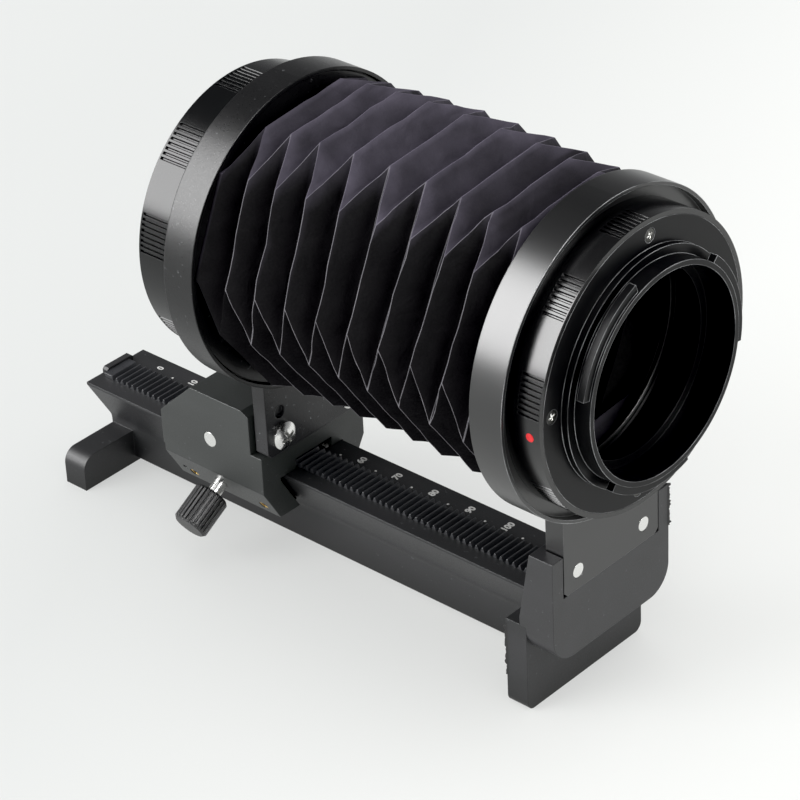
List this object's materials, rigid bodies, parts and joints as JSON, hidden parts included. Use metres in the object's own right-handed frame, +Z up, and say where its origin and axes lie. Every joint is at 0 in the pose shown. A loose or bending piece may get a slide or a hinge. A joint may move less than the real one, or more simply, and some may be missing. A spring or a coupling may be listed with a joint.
{
  "type": "macro bellows unit",
  "caption": "Focusing bellows on a toothed dovetail rail, with a sliding lens standard, a fixed camera standard and turning bayonet rings.",
  "frame": {"origin": "middle of the underside of the near (camera end) foot", "axes": "+X along the rail and the optical axis towards the camera, +Z up, -Y the side of the lock screw"},
  "size_m": [0.1535, 0.0674, 0.1111],
  "materials": {
    "grey_plastic": "fine satin moulding",
    "black_plastic": "satin",
    "rack_plastic": "satin",
    "washer_plastic": "plain",
    "bellows_cloth": "matte pleated cloth",
    "polished_steel": "polished",
    "spring_steel": "plain",
    "brass": "turned",
    "dark_anodised": "dark satin anodised",
    "red_paint": "filled dot"
  },
  "bodies": {
    "base": {"rail_beam": "grey_plastic", "rack_strip": "rack_plastic", "rear_bracket": "grey_plastic", "bracket_screw_left": "polished_steel", "bracket_screw_right": "polished_steel", "camera_standard": "black_plastic", "camera_plate_screw_left": "polished_steel", "camera_plate_screw_right": "polished_steel", "camera_clamp_screw": "polished_steel", "camera_bellows_frame": "black_plastic", "bellows": "bellows_cloth"},
    "carriage": {"carriage": "grey_plastic", "gib_strip": "brass", "gib_screw_far": "brass", "gib_screw_near": "brass", "lens_standard": "black_plastic", "lens_plate_screw_left": "polished_steel", "lens_plate_screw_right": "polished_steel", "lens_clamp_screw": "polished_steel", "lens_bellows_frame": "black_plastic", "focus_washer": "washer_plastic"},
    "focus_drive": {"focus_shaft": "polished_steel", "pinion": "polished_steel", "focus_knob": "black_plastic", "focus_grub_screw": "polished_steel"},
    "lock": {"lock_screw": "polished_steel", "lock_knob": "black_plastic"},
    "camera_mount": {"camera_mount_ring": "black_plastic", "camera_bayonet": "dark_anodised", "camera_index_dot": "red_paint", "camera_bayonet_screw_1": "polished_steel", "camera_bayonet_screw_2": "polished_steel", "camera_bayonet_screw_3": "polished_steel", "camera_bayonet_screw_4": "polished_steel"},
    "lens_mount": {"lens_mount_ring": "black_plastic", "lens_bayonet": "dark_anodised", "lens_index_dot": "red_paint", "lens_baffle": "dark_anodised", "release_spring": "spring_steel", "lens_bayonet_screw_1": "polished_steel", "lens_bayonet_screw_2": "polished_steel", "lens_bayonet_screw_3": "polished_steel", "lens_bayonet_screw_4": "polished_steel", "lens_leaf_spring_1": "spring_steel", "lens_leaf_spring_2": "spring_steel", "lens_leaf_spring_3": "spring_steel"},
    "release": {"release_slider": "black_plastic"}
  },
  "joints": [
    {"name": "carriage_slide", "type": "slide", "parent": "base", "child": "carriage", "axis": [1, 0, 0], "range_m": [-0.029, 0.058], "deforming": ["bellows"]},
    {"name": "focus_spin", "type": "hinge", "parent": "carriage", "child": "focus_drive", "pos_m": [-0.0853, 0, 0.02778], "axis": [0, 1, 0], "range_deg": [-281, 561]},
    {"name": "lock_spin", "type": "hinge", "parent": "carriage", "child": "lock", "pos_m": [-0.0853, -0.01321, 0.01595], "axis": [0, -0.866, -0.5], "range_deg": [0, 270]},
    {"name": "camera_mount_turn", "type": "hinge", "parent": "base", "child": "camera_mount", "pos_m": [0.0117, 0, 0.0773], "axis": [1, 0, 0], "range_deg": [-90, 90]},
    {"name": "lens_mount_turn", "type": "hinge", "parent": "carriage", "child": "lens_mount", "pos_m": [-0.0747, 0, 0.0773], "axis": [1, 0, 0], "range_deg": [-90, 90]},
    {"name": "release_slide", "type": "slide", "parent": "lens_mount", "child": "release", "axis": [1, 0, 0], "range_m": [0, 0.0018], "stiffness_N_per_m": 400, "springref_m": -0.002, "deforming": ["release_spring"]}
  ],
  "couplings": [
    {"joint": "focus_spin", "follows": "carriage_slide", "rad_per_m": 168.63}
  ]
}
